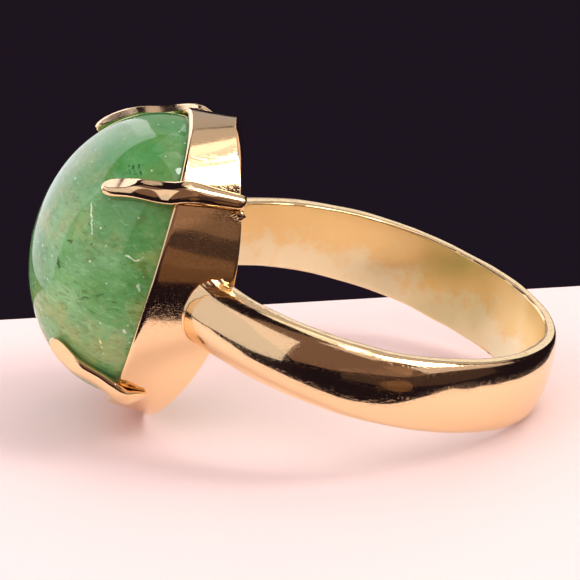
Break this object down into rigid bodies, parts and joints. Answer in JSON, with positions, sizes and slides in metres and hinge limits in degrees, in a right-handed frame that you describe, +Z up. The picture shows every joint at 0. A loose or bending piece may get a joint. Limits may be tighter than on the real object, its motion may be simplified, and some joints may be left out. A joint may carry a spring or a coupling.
{
  "type": "cocktail ring",
  "caption": "Gold finger ring with a large oval high-domed green cabochon in a deep collet with bent wire claws.",
  "frame": {"origin": "middle of the bounding box, on the surface that the ring lies on", "axes": "+Z up, -X the way the stone faces, -Y the nearer side; the ring lies on its side with the finger axis leaning 18 degrees from +Z towards +X"},
  "size_m": [0.0248, 0.0198, 0.0146],
  "materials": {
    "gold_band": "polished yellow gold with fine wear scratches, satin inside the finger hole",
    "gold_collet": "mirror-polished yellow gold with fine wear scratches",
    "gold_wire": "polished yellow gold half-round wire, burnished tips",
    "gold_solder": "uneven gold solder, slightly dull",
    "green_stone": "polished translucent green stone with veils, specks and dark needles"
  },
  "bodies": {
    "root": {"shank": "gold_band", "collet": "gold_collet", "stone_seat": "gold_collet", "cabochon": "green_stone", "claw_upper_near": "gold_wire", "claw_upper_far": "gold_wire", "claw_lower_near": "gold_wire", "claw_lower_far": "gold_wire", "claw_solder": "gold_solder", "shoulder_seam_near": "gold_solder", "shoulder_seam_far": "gold_solder"}
  },
  "joints": []
}
